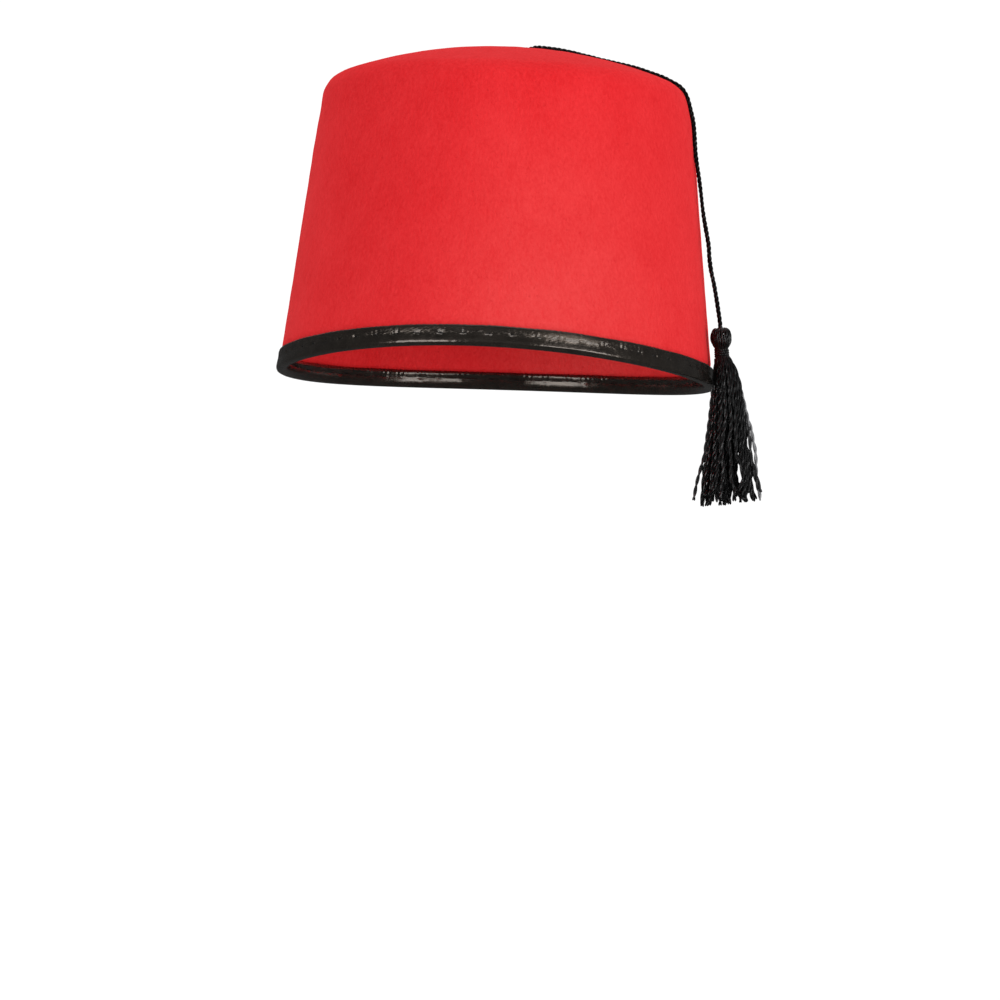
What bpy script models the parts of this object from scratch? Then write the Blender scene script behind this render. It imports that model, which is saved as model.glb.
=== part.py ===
"""A fez: moulded felt crown, bound rim, and a tassel that hangs from a twisted cord.

Metres, +Z up. The origin is the middle of the head opening, level with the lowest part of the rim.
The front of the hat faces -Y, and the tassel hangs at its +X side.
"""

import math
from collections import namedtuple

import bmesh
import bpy
from mathutils import Vector

MM = 0.001

# Outside of the felt. Half sizes of the oval at the rim and at the corner where side and top meet.
RIM_HALF_WIDTH = 81.0 * MM
RIM_HALF_DEPTH = 98.0 * MM
RIM_LIFT = 4.8 * MM  # front and back of the rim stand this much above its sides
TOP_HALF_WIDTH = 68.5 * MM
TOP_HALF_DEPTH = 73.5 * MM
CORNER_HEIGHT = 110.5 * MM
DOME_RISE = 13.8 * MM
SHOULDER_RADIUS = 10.0 * MM

FELT = 2.4 * MM
FELT_PRESS = 0.6 * MM  # how far the binding presses the felt in, on each face
GAP = 0.3 * MM

BINDING = 1.0 * MM  # thickness of the binding
BINDING_HEIGHT = 7.7 * MM
BINDING_INNER_HEIGHT = 7.2 * MM
FOLD_DEPTH = 1.3 * MM  # the felt's edge stands this far above the line of the rim
FOLD_BOTTOM = 0.15 * MM  # so does the underside of the fold, which leans out with the wall
BINDING_EDGE_OUT = 0.15 * MM  # the top edge curls in to this far outside the line of the felt
BINDING_EDGE_DROP = 0.1 * MM
BINDING_INNER_ROUND = 0.4 * MM  # rounding of the inner leg's top edge
BINDING_INNER_BELLY = 0.1 * MM  # the inner leg swells this much near the fold
BINDING_BELLY_HEIGHT = 3.2 * MM

HOLE_RADIUS = 2.0 * MM
HOLE_CENTRE = Vector((0.5, -0.2)) * MM  # the cord leans this way as it comes up
DIMPLE_DEPTH = 0.5 * MM  # the knot's pull draws the felt in round the hole
DIMPLE_RADIUS = 14.0 * MM

CORD_RADIUS = 0.85 * MM
CORD_POINT_SPACING = 4.0 * MM
SOCKET_RADIUS = CORD_RADIUS + GAP

KNOT_RADIUS = 3.1 * MM
KNOT_HEIGHT = 5.4 * MM
KNOT_SOCKET_DEPTH = 1.5 * MM  # the cord ends one gap above the socket's floor

TASSEL_TOP = Vector((83.84, -7.0, 21.65)) * MM
TASSEL_LEAN = math.radians(4.7)  # the tassel swings out from the hat's axis
TASSEL_SOCKET_DEPTH = 2.0 * MM
NECK_RADIUS = 1.75 * MM
WRAP_TOP = 7.3 * MM  # below the top of the head
WRAP_HEIGHT = 3.2 * MM
WRAP_TURNS = 3
WRAP_THREAD_RISE = 0.2 * MM
WRAP_RADIUS = 2.75 * MM
LOCKS = 16
LOCK_GROOVE = 0.86  # depth between locks, as a share of the skirt's radius
LOCK_HEART = 0.62  # where a lock's own middle lies, as a share of the skirt's radius
LENGTH_SPREAD = 1.6 * MM  # locks end at slightly different lengths
LENGTH_STEP = 2.4  # radians from one lock to the next in the wave that sets those lengths

AROUND = 72  # points round the oval
WALL_ROWS = 3
SHOULDER_ROWS = 5
DOME_ROWS = 6
DOME_ROW_SPACING = 1.25  # above 1, the rows of the dome lie closer together near the cord's hole
FOLD_ROWS = 5
KNOT_SIDES = 20
KNOT_ROWS = 8
WRAP_SIDES = 24
WRAP_ROWS_PER_TURN = 3
WELD = 1e-7

# Face of the binding: share of its height, and how far it stands out from the line of the felt.
FaceRow = namedtuple("FaceRow", "height out")
BINDING_FACE = [
    FaceRow(height=0.18, out=0.80 * MM),
    FaceRow(height=0.36, out=0.85 * MM),
    FaceRow(height=0.64, out=0.62 * MM),
    FaceRow(height=0.82, out=0.80 * MM),
    FaceRow(height=0.94, out=0.68 * MM),
]

# Head of the tassel, from the cord's socket down to the neck.
HeadRow = namedtuple("HeadRow", "drop radius")
HEAD = [
    HeadRow(drop=0.50 * MM, radius=SOCKET_RADIUS),
    HeadRow(drop=0.12 * MM, radius=1.50 * MM),
    HeadRow(drop=0.05 * MM, radius=2.30 * MM),
    HeadRow(drop=0.70 * MM, radius=3.20 * MM),
    HeadRow(drop=1.90 * MM, radius=3.78 * MM),
    HeadRow(drop=3.40 * MM, radius=3.95 * MM),
    HeadRow(drop=4.90 * MM, radius=3.75 * MM),
    HeadRow(drop=6.10 * MM, radius=3.20 * MM),
    HeadRow(drop=6.95 * MM, radius=2.60 * MM),
]

# Skirt of the tassel: how far below the head's top, how wide, and how far the rim pushes it out.
SkirtRow = namedtuple("SkirtRow", "drop radius out")
SKIRT = [
    SkirtRow(drop=10.9 * MM, radius=2.9 * MM, out=0.3 * MM),
    SkirtRow(drop=13.9 * MM, radius=3.9 * MM, out=0.9 * MM),
    SkirtRow(drop=17.5 * MM, radius=4.7 * MM, out=1.4 * MM),
    SkirtRow(drop=21.5 * MM, radius=5.4 * MM, out=1.7 * MM),
    SkirtRow(drop=28.0 * MM, radius=6.4 * MM, out=1.6 * MM),
    SkirtRow(drop=36.0 * MM, radius=7.7 * MM, out=1.5 * MM),
    SkirtRow(drop=43.5 * MM, radius=9.1 * MM, out=1.3 * MM),
]

# Below the last row of the skirt the locks hang apart: share of a lock's own width and depth that is left.
TipRow = namedtuple("TipRow", "drop radius out fullness")
TIPS = [
    TipRow(drop=50.5 * MM, radius=10.9 * MM, out=0.9 * MM, fullness=0.84),
    TipRow(drop=58.5 * MM, radius=13.2 * MM, out=0.4 * MM, fullness=0.68),
    TipRow(drop=64.5 * MM, radius=14.6 * MM, out=0.0 * MM, fullness=0.56),
]

# Outline of one lock, from the groove before it: share of the lock's width, and share of the groove's depth.
LockPoint = namedtuple("LockPoint", "along depth")
LOCK_OUTLINE = [
    LockPoint(along=0.00, depth=1.00),
    LockPoint(along=0.27, depth=0.25),
    LockPoint(along=0.50, depth=0.00),
    LockPoint(along=0.73, depth=0.25),
]

# The cord's route, in millimetres: out of the knot, over the dome and the shoulder, down to the tassel.
CORD_ROUTE_MM = [
    (0.0, 0.0, 120.15),
    (0.0, 0.0, 121.3),
    (0.1, 0.0, 122.5),
    (0.5, -0.2, 123.7),
    (1.4, -0.6, 124.7),
    (3.0, -1.3, 125.15),
    (5.4, -2.5, 125.15),
    (8.4, -4.2, 125.2),
    (14.0, -6.3, 124.9),
    (22.0, -5.9, 124.1),
    (31.0, -4.9, 122.8),
    (40.0, -4.5, 120.95),
    (49.0, -4.4, 118.65),
    (55.5, -4.4, 116.65),
    (59.5, -4.4, 115.3),
    (62.6, -4.3, 114.2),
    (65.5, -4.3, 112.8),
    (67.9, -4.3, 110.7),
    (69.5, -4.3, 108.0),
    (70.3, -4.3, 105.2),
    (70.7, -4.4, 101.5),
    (71.3, -4.5, 96.0),
    (72.2, -4.9, 88.0),
    (73.1, -5.3, 80.0),
    (74.0, -5.6, 72.0),
    (75.1, -6.0, 64.0),
    (76.8, -6.4, 56.5),
    (78.9, -6.7, 47.0),
    (80.9, -6.9, 37.5),
    (82.7, -7.0, 28.5),
    (83.5, -7.0, 24.0),
    (83.98, -7.0, 20.0),
]

# name of a finish: colour, roughness
FINISHES = {
    "felt_red": ((0.62, 0.022, 0.028), 0.95),
    "binding_black": ((0.016, 0.016, 0.018), 0.30),
    "cord_black": ((0.014, 0.014, 0.015), 0.70),
    "knot_black": ((0.014, 0.014, 0.015), 0.72),
    "tassel_black": ((0.012, 0.012, 0.013), 0.60),
    "wrap_black": ((0.018, 0.018, 0.019), 0.65),
}


def clear_scene():
    for obj in list(bpy.data.objects):
        bpy.data.objects.remove(obj, do_unlink=True)


def make_material(name):
    colour, roughness = FINISHES[name]
    material = bpy.data.materials.new(name)
    material.use_nodes = True
    shader = material.node_tree.nodes["Principled BSDF"]
    shader.inputs["Base Color"].default_value = (*colour, 1.0)
    shader.inputs["Roughness"].default_value = roughness
    shader.inputs["Metallic"].default_value = 0.0
    return material


def add_object(name, data, finish):
    obj = bpy.data.objects.new(name, data)
    bpy.context.scene.collection.objects.link(obj)
    data.materials.append(make_material(finish))
    return obj


def finish_mesh(name, bm, finish, sharp_degrees=50.0):
    """Turns the bmesh into an object whose faces point out, smooth except over sharp edges."""
    bmesh.ops.recalc_face_normals(bm, faces=bm.faces)
    mesh = bpy.data.meshes.new(name)
    bm.to_mesh(mesh)
    bm.free()
    mesh.shade_smooth()
    mesh.set_sharp_from_angle(angle=math.radians(sharp_degrees))
    return add_object(name, mesh, finish)


def join_rings(bm, rings, closed=False):
    """Skins a list of equal rings with four-sided faces. A closed list joins its last ring to its first."""
    last = len(rings) if closed else len(rings) - 1
    for i in range(last):
        lower, upper = rings[i], rings[(i + 1) % len(rings)]
        for k in range(len(lower)):
            n = (k + 1) % len(lower)
            bm.faces.new((lower[k], lower[n], upper[n], upper[k]))


class Outline:
    """One outline of the crown, seen from the side or from the front: a straight wall, a round shoulder and
    the arc of the dome. Points are (distance from the hat's axis, height)."""

    def __init__(self, rim_half, top_half, rim_height):
        self.rim = Vector((rim_half, rim_height))
        wall = Vector((top_half, CORNER_HEIGHT)) - self.rim
        self.up = wall.normalized()
        self.outward = Vector((self.up.y, -self.up.x))
        self.dome_radius = (top_half**2 + DOME_RISE**2) / (2 * DOME_RISE)
        self.dome_centre = Vector((0.0, CORNER_HEIGHT + DOME_RISE - self.dome_radius))
        # The shoulder's centre lies its own radius inside the wall and inside the dome.
        start = self.rim - self.outward * SHOULDER_RADIUS - self.dome_centre
        along = start.dot(self.up)
        reach = self.dome_radius - SHOULDER_RADIUS
        self.wall_length = -along + math.sqrt(along**2 - start.dot(start) + reach**2)
        self.shoulder_centre = self.dome_centre + start + self.up * self.wall_length
        self.wall_angle = math.atan2(self.outward.y, self.outward.x)
        away = self.shoulder_centre - self.dome_centre
        self.dome_angle = math.atan2(away.y, away.x)

    def wall(self, up, out=0.0):
        return self.rim + self.up * up + self.outward * out

    def shoulder(self, share, out=0.0):
        angle = self.wall_angle + share * (self.dome_angle - self.wall_angle)
        return self.shoulder_centre + (SHOULDER_RADIUS + out) * Vector((math.cos(angle), math.sin(angle)))

    def dome(self, share, out=0.0):
        """share runs from 0 at the shoulder to 1 at the edge of the cord's hole."""
        radius = self.dome_radius + out
        edge = (SHOULDER_RADIUS + out) * Vector((math.cos(self.dome_angle), math.sin(self.dome_angle)))
        start = (self.shoulder_centre + edge).x
        x = start + share * (HOLE_RADIUS - start)
        dimple = DIMPLE_DEPTH * max(0.0, 1 - (x / DIMPLE_RADIUS) ** 2) ** 2
        return self.dome_centre + Vector((x, math.sqrt(radius**2 - x**2) - dimple))


SIDE = Outline(RIM_HALF_WIDTH, TOP_HALF_WIDTH, 0.0)
FRONT = Outline(RIM_HALF_DEPTH, TOP_HALF_DEPTH, RIM_LIFT)


def oval_ring(bm, side_point, front_point, shift=(0.0, 0.0)):
    """A ring of points round the hat's axis, through a point of the side outline and one of the front's."""
    ring = []
    for k in range(AROUND):
        angle = 2 * math.pi * k / AROUND
        c, s = math.cos(angle), math.sin(angle)
        height = side_point.y * c * c + front_point.y * s * s
        ring.append(bm.verts.new((side_point.x * c + shift[0], front_point.x * s + shift[1], height)))
    return ring


def felt_face(bm, out, press):
    """The rings of one face of the felt, from its lower edge up to the cord's hole. out is 0 on the outer
    face and minus the felt's thickness inside; press moves the part under the binding."""
    covered = (BINDING_HEIGHT if out == 0.0 else BINDING_INNER_HEIGHT) + GAP
    rings = []
    for up in (FOLD_DEPTH, covered):
        rings.append(oval_ring(bm, SIDE.wall(up, out + press), FRONT.wall(up, out + press)))
    free = covered + abs(press)
    for row in range(WALL_ROWS):
        share = row / (WALL_ROWS - 1)
        side_up = free + share * (SIDE.wall_length - free)
        front_up = free + share * (FRONT.wall_length - free)
        rings.append(oval_ring(bm, SIDE.wall(side_up, out), FRONT.wall(front_up, out)))
    for row in range(1, SHOULDER_ROWS + 1):
        share = row / SHOULDER_ROWS
        rings.append(oval_ring(bm, SIDE.shoulder(share, out), FRONT.shoulder(share, out)))
    for row in range(1, DOME_ROWS + 1):
        share = 1 - (1 - row / DOME_ROWS) ** DOME_ROW_SPACING
        side_point, front_point = SIDE.dome(share, out), FRONT.dome(share, out)
        rings.append(oval_ring(bm, side_point, front_point, HOLE_CENTRE * share))
    return rings


def make_crown():
    bm = bmesh.new()
    outer = felt_face(bm, 0.0, -FELT_PRESS)
    inner = felt_face(bm, -FELT, FELT_PRESS)
    join_rings(bm, outer + inner[::-1], closed=True)
    return finish_mesh("crown", bm, "felt_red", sharp_degrees=35.0)


def binding_section():
    """Closed outline of the binding as (out, up): up its face, over its top edge, down and up the groove
    that holds the felt, down the inside, and round the fold under the felt."""
    felt_out = -FELT_PRESS
    felt_in = -FELT + FELT_PRESS
    inside = felt_in - GAP - BINDING
    points = [(row.out, row.height * BINDING_HEIGHT) for row in BINDING_FACE]
    points.append((BINDING_EDGE_OUT, BINDING_HEIGHT))
    points.append((felt_out + GAP, BINDING_HEIGHT - BINDING_EDGE_DROP))
    points.append((felt_out + GAP, FOLD_DEPTH - GAP))
    points.append((felt_in - GAP, FOLD_DEPTH - GAP))
    points.append((felt_in - GAP, BINDING_INNER_HEIGHT - BINDING_EDGE_DROP))
    points.append((inside + BINDING_INNER_ROUND, BINDING_INNER_HEIGHT))
    points.append((inside, BINDING_INNER_HEIGHT - BINDING_INNER_ROUND))
    points.append((inside - BINDING_INNER_BELLY, BINDING_BELLY_HEIGHT))
    # Round fold: half an ellipse from the inside back to the face.
    face = BINDING_FACE[0].out
    middle, half = (face + inside) / 2, (face - inside) / 2
    for k in range(FOLD_ROWS):
        angle = math.pi * (1 + k / FOLD_ROWS)
        out = middle + half * math.cos(angle)
        points.append((out, FOLD_DEPTH + (FOLD_DEPTH - FOLD_BOTTOM) * math.sin(angle)))
    return points


def make_rim_binding():
    bm = bmesh.new()
    rings = []
    for out, up in binding_section():
        rings.append(oval_ring(bm, SIDE.wall(up, out), FRONT.wall(up, out)))
    join_rings(bm, rings, closed=True)
    return finish_mesh("rim_binding", bm, "binding_black", sharp_degrees=60.0)


def between(a, b, ta, tb, t):
    return a * ((tb - t) / (tb - ta)) + b * ((t - ta) / (tb - ta))


def smooth_path(route, spacing):
    """Points along a centripetal Catmull-Rom curve through the route, about one spacing apart."""
    ends = [route[0] * 2 - route[1]] + list(route) + [route[-1] * 2 - route[-2]]
    path = [route[0].copy()]
    for i in range(len(route) - 1):
        p0, p1, p2, p3 = ends[i : i + 4]
        t1 = (p1 - p0).length ** 0.5
        t2 = t1 + (p2 - p1).length ** 0.5
        t3 = t2 + (p3 - p2).length ** 0.5
        steps = max(1, round((p2 - p1).length / spacing))
        for k in range(1, steps + 1):
            t = t1 + (t2 - t1) * k / steps
            a1, a2, a3 = between(p0, p1, 0, t1, t), between(p1, p2, t1, t2, t), between(p2, p3, t2, t3, t)
            b1, b2 = between(a1, a2, 0, t2, t), between(a2, a3, t1, t3, t)
            path.append(between(b1, b2, t1, t2, t))
    return path


def make_tassel_cord():
    route = [Vector(point) * MM for point in CORD_ROUTE_MM]
    path = smooth_path(route, CORD_POINT_SPACING)
    curve = bpy.data.curves.new("tassel_cord", "CURVE")
    curve.dimensions = "3D"
    curve.bevel_depth = CORD_RADIUS
    curve.bevel_resolution = 2
    curve.use_fill_caps = True
    spline = curve.splines.new("POLY")
    spline.points.add(len(path) - 1)
    for point, place in zip(spline.points, path):
        point.co = (*place, 1.0)
    return add_object("tassel_cord", curve, "cord_black")


def turned(name, profile, steps, finish, closed):
    """Spins a profile of (radius, height) points round the Z axis."""
    bm = bmesh.new()
    verts = [bm.verts.new((radius, 0.0, height)) for radius, height in profile]
    edges = [bm.edges.new(pair) for pair in zip(verts, verts[1:])]
    if closed:
        edges.append(bm.edges.new((verts[-1], verts[0])))
    bmesh.ops.spin(
        bm, geom=verts + edges, cent=(0, 0, 0), axis=(0, 0, 1), angle=2 * math.pi, steps=steps, use_merge=True
    )
    bmesh.ops.remove_doubles(bm, verts=bm.verts, dist=WELD)
    return finish_mesh(name, bm, finish)


def make_cord_knot():
    """A plain round knot under the top, with a socket for the cord's end."""
    top = CORD_ROUTE_MM[0][2] * MM + KNOT_SOCKET_DEPTH - GAP
    middle = top - KNOT_HEIGHT / 2
    profile = [(0.0, top - KNOT_SOCKET_DEPTH), (SOCKET_RADIUS, top - KNOT_SOCKET_DEPTH)]
    start = math.acos(SOCKET_RADIUS / KNOT_RADIUS)
    for k in range(KNOT_ROWS):
        angle = start - (start + math.pi / 2) * k / KNOT_ROWS
        profile.append((KNOT_RADIUS * math.cos(angle), middle + KNOT_HEIGHT / 2 * math.sin(angle)))
    profile.append((0.0, middle - KNOT_HEIGHT / 2))
    return turned("cord_knot", profile, KNOT_SIDES, "knot_black", closed=False)


def lobed_ring(bm, drop, radius, out, groove):
    """A ring of the tassel. groove is the radius between locks, as a share of the radius on their ridges."""
    ring = []
    for lock in range(LOCKS):
        for point in LOCK_OUTLINE:
            angle = 2 * math.pi * (lock + point.along) / LOCKS
            reach = radius * (1 - (1 - groove) * point.depth)
            ring.append(bm.verts.new((out + reach * math.cos(angle), reach * math.sin(angle), -drop)))
    return ring


def lock_tip(bm, lock, ring, core):
    """The lower end of one lock: its slice of the skirt's last ring, carried down, drawn in and closed."""
    first = lock * len(LOCK_OUTLINE)
    top = SKIRT[-1]
    base = [ring[(first + k) % len(ring)] for k in range(len(LOCK_OUTLINE) + 1)] + [core]
    angle = 2 * math.pi * (lock + 0.5) / LOCKS
    heart = Vector((math.cos(angle), math.sin(angle))) * top.radius * LOCK_HEART
    longer = LENGTH_SPREAD * math.sin(LENGTH_STEP * lock)
    rings = [base]
    for row in TIPS:
        hang = (row.drop - top.drop) / (TIPS[-1].drop - top.drop)
        lower = []
        for vert in base:
            flat = Vector((vert.co.x - top.out, vert.co.y))
            flat = (heart + (flat - heart) * row.fullness) * (row.radius / top.radius)
            lower.append(bm.verts.new((flat.x + row.out, flat.y, -row.drop - longer * hang)))
        rings.append(lower)
    join_rings(bm, rings)
    bm.faces.new(rings[-1])


def make_tassel(hanger):
    """Head, neck and skirt in one, in the hanger's frame: the head's top at its origin, hanging down -Z."""
    bm = bmesh.new()
    floor = lobed_ring(bm, TASSEL_SOCKET_DEPTH, SOCKET_RADIUS, 0.0, 1.0)
    rings = [floor]
    for row in HEAD:
        rings.append(lobed_ring(bm, row.drop, row.radius, 0.0, 1.0))
    for drop in (WRAP_TOP - GAP, WRAP_TOP + WRAP_HEIGHT + GAP):
        rings.append(lobed_ring(bm, drop, NECK_RADIUS, 0.0, 1.0))
    for row in SKIRT:
        # The locks part over the first rows below the neck.
        parted = min(1.0, (row.drop - SKIRT[0].drop) / (SKIRT[2].drop - SKIRT[0].drop))
        rings.append(lobed_ring(bm, row.drop, row.radius, row.out, 1 - (1 - LOCK_GROOVE) * parted))
    join_rings(bm, rings)
    bm.faces.new(floor)
    core = bm.verts.new((SKIRT[-1].out, 0.0, -SKIRT[-1].drop))
    for lock in range(LOCKS):
        lock_tip(bm, lock, rings[-1], core)
    tassel = finish_mesh("tassel", bm, "tassel_black")
    tassel.parent = hanger
    return tassel


def make_tassel_wrap(hanger):
    """Thread wound round the tassel's neck, as one ring with a low ridge for each turn."""
    inner = NECK_RADIUS + GAP
    bottom = -WRAP_TOP - WRAP_HEIGHT
    profile = [(inner, -WRAP_TOP), (inner, bottom)]
    rows = WRAP_ROWS_PER_TURN * WRAP_TURNS
    for k in range(rows + 1):
        ridge = abs(math.sin(math.pi * k / WRAP_ROWS_PER_TURN))
        profile.append((WRAP_RADIUS - WRAP_THREAD_RISE * (1 - ridge), bottom + WRAP_HEIGHT * k / rows))
    wrap = turned("tassel_wrap", profile, WRAP_SIDES, "wrap_black", closed=True)
    wrap.parent = hanger
    return wrap


def main():
    clear_scene()
    make_crown()
    make_rim_binding()
    make_cord_knot()
    make_tassel_cord()
    hanger = bpy.data.objects.new("tassel_hang", None)
    bpy.context.scene.collection.objects.link(hanger)
    hanger.location = TASSEL_TOP
    hanger.rotation_euler = (0.0, -TASSEL_LEAN, 0.0)
    make_tassel(hanger)
    make_tassel_wrap(hanger)
    bpy.context.view_layer.update()


main()
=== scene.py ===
import math
from functools import partial

import bpy
import numpy as np
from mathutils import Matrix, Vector
from mathutils.bvhtree import BVHTree


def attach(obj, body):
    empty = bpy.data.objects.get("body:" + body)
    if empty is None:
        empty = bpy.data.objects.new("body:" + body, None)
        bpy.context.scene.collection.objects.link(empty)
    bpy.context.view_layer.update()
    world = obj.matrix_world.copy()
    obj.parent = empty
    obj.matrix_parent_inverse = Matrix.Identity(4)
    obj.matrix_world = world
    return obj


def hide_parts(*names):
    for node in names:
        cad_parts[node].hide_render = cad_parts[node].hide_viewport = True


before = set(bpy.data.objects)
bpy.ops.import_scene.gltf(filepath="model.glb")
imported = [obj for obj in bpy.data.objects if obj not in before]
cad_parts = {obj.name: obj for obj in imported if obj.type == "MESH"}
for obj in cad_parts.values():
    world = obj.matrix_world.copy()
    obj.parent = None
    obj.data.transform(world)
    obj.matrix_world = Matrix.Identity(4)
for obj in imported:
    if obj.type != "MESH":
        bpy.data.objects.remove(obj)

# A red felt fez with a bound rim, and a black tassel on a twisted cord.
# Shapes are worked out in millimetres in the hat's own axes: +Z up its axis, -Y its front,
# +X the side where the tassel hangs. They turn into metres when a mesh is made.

mm = 0.001
fullTurn = 2 * math.pi
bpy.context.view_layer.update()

cameraSetup = {
    "place": (240.5, -2304.0, -188.6),  # a little below the rim and to the right of the front
    "turn": (93.5679, -2.2686, 5.7361),  # degrees; the hat leans a little in the picture
    "lens": {"lens": 223.8, "sensor_width": 36.0, "clip_start": 0.05, "clip_end": 100.0},
}


def addObject(name, data):
    thing = bpy.data.objects.new(name, data)
    bpy.context.scene.collection.objects.link(thing)
    return thing


def addCamera(setup):
    data = bpy.data.cameras.new("camera")
    for key, value in setup["lens"].items():
        setattr(data, key, value)
    camera = addObject("camera", data)
    camera.location = Vector(setup["place"]) * mm
    camera.rotation_euler = [math.radians(angle) for angle in setup["turn"]]
    bpy.context.scene.camera = camera


addCamera(cameraSetup)
print("camera placed")


def smoothStep(value, low, high):
    share = np.clip((value - low) / (high - low), 0.0, 1.0)
    return share * share * (3 - 2 * share)


def bell(value, middle, width):
    return np.exp(-((value - middle) / width) ** 2)


def blend(pair, share):
    return pair[0] + share * (pair[1] - pair[0])


def evenTurns(count):
    return fullTurn * np.arange(count) / count


def unit(vectors):
    return vectors / np.linalg.norm(vectors, axis=-1, keepdims=True)


def softNoise(points, wave, seed, waves=20):
    # smooth unevenness round zero, rarely past 1.5, with about one swell in each wave millimetres
    rng = np.random.default_rng(seed)
    turns = unit(rng.normal(size=(waves, 3))) * (fullTurn / (wave * rng.uniform(0.7, 1.6, (waves, 1))))
    starts = rng.uniform(0, fullTurn, waves)
    return np.cos(points @ turns.T + starts).sum(-1) / math.sqrt(waves)


def uneven(points, form, seed):
    return form[0] * softNoise(points, form[1], seed)


def gridFaces(rows, columns, closedRows=False):
    # four-sided faces of a grid whose columns run all the way round
    row = np.arange(rows if closedRows else rows - 1)[:, None]
    column = np.arange(columns)[None, :]
    nextRow = (row + 1) % rows
    nextColumn = (column + 1) % columns
    corners = (row * columns + column, row * columns + nextColumn,
               nextRow * columns + nextColumn, nextRow * columns + column)
    return np.stack(np.broadcast_arrays(*corners), axis=-1).reshape(-1, 4)


def addMesh(name, material, points, faces, strand=None, strip=None):
    # strand: the corners' places round and along a strand, and its shade
    # strip: the points' places round the rim and up, and how loose it is there, or -1 inside
    mesh = bpy.data.meshes.new(name)
    points = np.asarray(points).reshape(-1, 3) * mm
    mesh.from_pydata(points.tolist(), [], [list(face) for face in faces])
    mesh.shade_smooth()
    for key, domain, values in (("strand", "CORNER", strand), ("strip", "POINT", strip)):
        if values is not None:
            layer = mesh.attributes.new(key, "FLOAT_VECTOR", domain)
            layer.data.foreach_set("vector", np.asarray(values, dtype=np.float32).ravel())
    mesh.materials.append(material)
    print(f"{name}: {sum(len(face) - 2 for face in faces)} triangles")
    return addObject(name, mesh)


def finishPiece(piece, slot, *nodes):
    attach(piece, "root")
    if nodes:
        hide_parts(*nodes)


def smoothRoute(route, spacing):
    # evenly spaced points on a centripetal Catmull-Rom curve through the route
    route = np.asarray(route, dtype=float)
    ends = np.vstack([2 * route[0] - route[1], route, 2 * route[-1] - route[-2]])
    dense = [route[0]]
    for i in range(len(route) - 1):
        p0, p1, p2, p3 = ends[i:i + 4]
        t1 = np.linalg.norm(p1 - p0) ** 0.5
        t2 = t1 + np.linalg.norm(p2 - p1) ** 0.5
        t3 = t2 + np.linalg.norm(p3 - p2) ** 0.5
        for t in np.linspace(t1, t2, 25)[1:]:
            a1 = p0 * (t1 - t) / t1 + p1 * t / t1
            a2 = (p1 * (t2 - t) + p2 * (t - t1)) / (t2 - t1)
            a3 = (p2 * (t3 - t) + p3 * (t - t2)) / (t3 - t2)
            b1 = a1 * (t2 - t) / t2 + a2 * t / t2
            b2 = (a2 * (t3 - t) + a3 * (t - t1)) / (t3 - t1)
            dense.append((b1 * (t2 - t) + b2 * (t - t1)) / (t2 - t1))
    return evenPoints(np.array(dense), spacing)


def spans(lines):
    return np.linalg.norm(np.diff(lines, axis=-2), axis=-1)


def runAlong(line):
    return np.concatenate([[0.0], np.cumsum(spans(line))])


def evenPoints(line, spacing):
    run = runAlong(line)
    stops = np.linspace(0.0, run[-1], max(2, round(run[-1] / spacing) + 1))
    return np.stack([np.interp(stops, run, line[:, axis]) for axis in range(3)], axis=1)


# strands: tubes and twisted cords round several lines at a time

def carriedFrames(lines):
    # two directions across each line, carried from point to point without twisting
    along = unit(np.gradient(lines, axis=1))
    side = np.empty_like(lines)
    side[:, 0] = unit(np.cross(along[:, 0], [0.31, 0.95, 0.05]))
    for i in range(1, lines.shape[1]):
        carried = side[:, i - 1]
        side[:, i] = unit(carried - (carried * along[:, i]).sum(1, keepdims=True) * along[:, i])
    return side, np.cross(along, side)


def tubes(lines, radii, sides, shades):
    # closed round tubes; radii is (lines, points). Gives points, faces and the corners' strand values
    count, steps = lines.shape[:2]
    side, across = carriedFrames(lines)
    turn = evenTurns(sides)
    ring = np.cos(turn)[:, None] * side[:, :, None] + np.sin(turn)[:, None] * across[:, :, None]
    points = lines[:, :, None] + radii[:, :, None, None] * ring
    run = spans(lines).mean()
    quads = gridFaces(steps, sides)
    row, column = np.divmod(np.arange((steps - 1) * sides), sides)
    around = np.stack([column, column + 1, column + 1, column], axis=1) / sides
    length = np.stack([row, row, row + 1, row + 1], axis=1) * run
    faces, strand = [], []
    for k in range(count):
        first = k * steps * sides
        faces += (quads + first).tolist()
        faces.append(list(range(first + sides - 1, first - 1, -1)))
        faces.append(list(range(first + (steps - 1) * sides, first + steps * sides)))
        strand.append(np.stack(np.broadcast_arrays(around, length, shades[k]), axis=-1).reshape(-1, 3))
        strand += [[(0.0, end, shades[k])] * sides for end in (0.0, run * (steps - 1))]
    return points.reshape(-1, 3), faces, np.concatenate(strand)


def roundedEnds(lines, radius):
    # radii that close each tube in a dome at both of its ends
    steps = lines.shape[1]
    run = spans(lines).mean(axis=1, keepdims=True) * np.arange(steps)
    fromEnd = np.minimum(run, run[:, -1:] - run) / radius
    return radius * np.sqrt(np.clip(1 - (1 - np.clip(fromEnd, 0, 1)) ** 2, 0.04, 1))


def twistedLines(lines, plies, reach, pitch, starts):
    # the lines of the plies that wind round each line, one turn in each pitch millimetres
    side, across = carriedFrames(lines)
    run = np.concatenate([np.zeros((len(lines), 1)), np.cumsum(spans(lines), axis=1)], axis=1)
    wound = []
    for ply in range(plies):
        turn = fullTurn * (run / pitch + ply / plies) + np.asarray(starts)[:, None]
        outward, onward = (reach * np.cos(turn))[..., None], (reach * np.sin(turn))[..., None]
        wound.append(lines + outward * side + onward * across)
    return np.concatenate(wound)


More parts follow.
